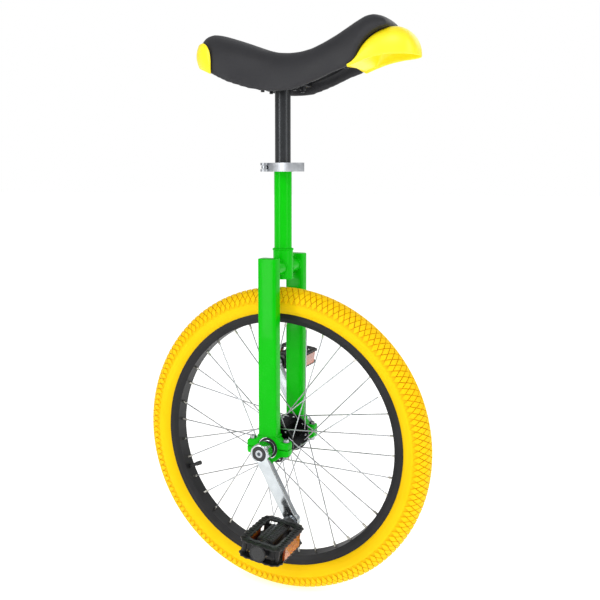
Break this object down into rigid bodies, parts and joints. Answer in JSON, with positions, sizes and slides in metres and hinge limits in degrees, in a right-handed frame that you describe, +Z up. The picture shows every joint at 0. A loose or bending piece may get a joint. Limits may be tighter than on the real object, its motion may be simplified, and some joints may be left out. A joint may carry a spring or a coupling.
{
  "type": "unicycle",
  "caption": "Unicycle with a knobbed tyre on a wire-spoked wheel, a flat-topped two-legged frame, cranks, block pedals and a curved saddle on a clamped, height-adjustable post.",
  "frame": {"origin": "where the tyre meets the ground, straight under the axle", "axes": "+Z up, +X towards the front of the saddle, +Y towards the rider's left"},
  "size_m": [0.5038, 0.4176, 0.927],
  "materials": {
    "frame_paint": "gloss",
    "zinc_steel": "satin",
    "bearing_steel": "polished",
    "bright_wire": "bright",
    "polished_alloy": "polished",
    "forged_alloy": "polished",
    "dark_post": "anodised",
    "black_steel": "satin",
    "black_nylon": "moulded",
    "saddle_cover": "matt grained",
    "yellow_plastic": "moulded",
    "black_hub": "gloss",
    "rim_black": "satin",
    "black_rubber": "matt",
    "black_plastic": "moulded",
    "cage_nylon": "moulded",
    "tyre_yellow": "moulded",
    "pedal_resin": "moulded",
    "bush_acetal": "moulded",
    "amber_reflector": "moulded prisms"
  },
  "bodies": {
    "frame": {"seat_tube": "frame_paint", "seat_tube_sleeve": "frame_paint", "crown_tubes": "frame_paint", "right_leg": "frame_paint", "left_leg": "frame_paint", "right_bearing_cap": "frame_paint", "left_bearing_cap": "frame_paint", "cap_bolts": "zinc_steel", "cap_nuts": "zinc_steel", "bearing_outer_races": "bearing_steel", "bearing_seals": "black_rubber", "clamp_collar": "polished_alloy", "clamp_skewer": "zinc_steel"},
    "wheel": {"hub_shell": "black_hub", "axle": "zinc_steel", "axle_spacers": "zinc_steel", "bearing_inner_races": "bearing_steel", "spokes": "bright_wire", "spoke_nipples": "bright_wire", "rim": "rim_black", "rim_tape": "black_rubber", "inner_tube": "black_rubber", "valve_stem": "black_rubber", "valve_ring": "bright_wire", "valve_cap": "black_plastic", "tyre": "tyre_yellow", "right_crank": "forged_alloy", "left_crank": "forged_alloy", "crank_bolts": "zinc_steel", "crank_dust_rings": "black_plastic", "right_pedal_spindle": "zinc_steel", "left_pedal_spindle": "zinc_steel"},
    "seat": {"seat_post": "dark_post", "post_plate": "black_steel", "saddle_base": "black_nylon", "saddle_cushion": "saddle_cover", "front_bumper": "yellow_plastic", "rear_bumper": "yellow_plastic", "plate_studs": "zinc_steel", "plate_nuts": "zinc_steel", "base_screws": "zinc_steel"},
    "right_pedal": {"right_pedal_body": "pedal_resin", "right_pedal_bushes": "bush_acetal", "right_pedal_cap": "pedal_resin", "right_pedal_reflectors": "amber_reflector"},
    "left_pedal": {"left_pedal_body": "pedal_resin", "left_pedal_bushes": "bush_acetal", "left_pedal_cap": "pedal_resin", "left_pedal_reflectors": "amber_reflector"},
    "ball_sets": {"bearing_balls": "bearing_steel", "ball_cages": "cage_nylon"},
    "quick_release": {"clamp_lever": "polished_alloy", "lever_cam_pin": "zinc_steel"},
    "hand_nut": {"clamp_hand_nut": "polished_alloy"}
  },
  "joints": [
    {"name": "wheel_spin", "type": "hinge", "parent": "frame", "child": "wheel", "pos_m": [0, 0, 0.252], "axis": [0, 1, 0], "continuous": true},
    {"name": "ball_cage_spin", "type": "hinge", "parent": "frame", "child": "ball_sets", "pos_m": [0, 0, 0.252], "axis": [0, 1, 0], "continuous": true},
    {"name": "right_pedal_spin", "type": "hinge", "parent": "wheel", "child": "right_pedal", "pos_m": [0.05492, -0.15, 0.1521], "axis": [0, 1, 0], "continuous": true},
    {"name": "left_pedal_spin", "type": "hinge", "parent": "wheel", "child": "left_pedal", "pos_m": [-0.05492, 0.15, 0.3519], "axis": [0, 1, 0], "continuous": true},
    {"name": "seat_height", "type": "slide", "parent": "frame", "child": "seat", "axis": [0, 0, 1], "range_m": [-0.055, 0.045]},
    {"name": "lever_open", "type": "hinge", "parent": "frame", "child": "quick_release", "pos_m": [-0.024, -0.0175, 0.6985], "axis": [0, 0, -1], "range_deg": [0, 165]},
    {"name": "hand_nut_spin", "type": "hinge", "parent": "frame", "child": "hand_nut", "pos_m": [-0.024, 0.015, 0.6985], "axis": [0, 1, 0], "continuous": true}
  ],
  "couplings": [
    {"joint": "ball_cage_spin", "follows": "wheel_spin", "ratio": 0.382}
  ]
}
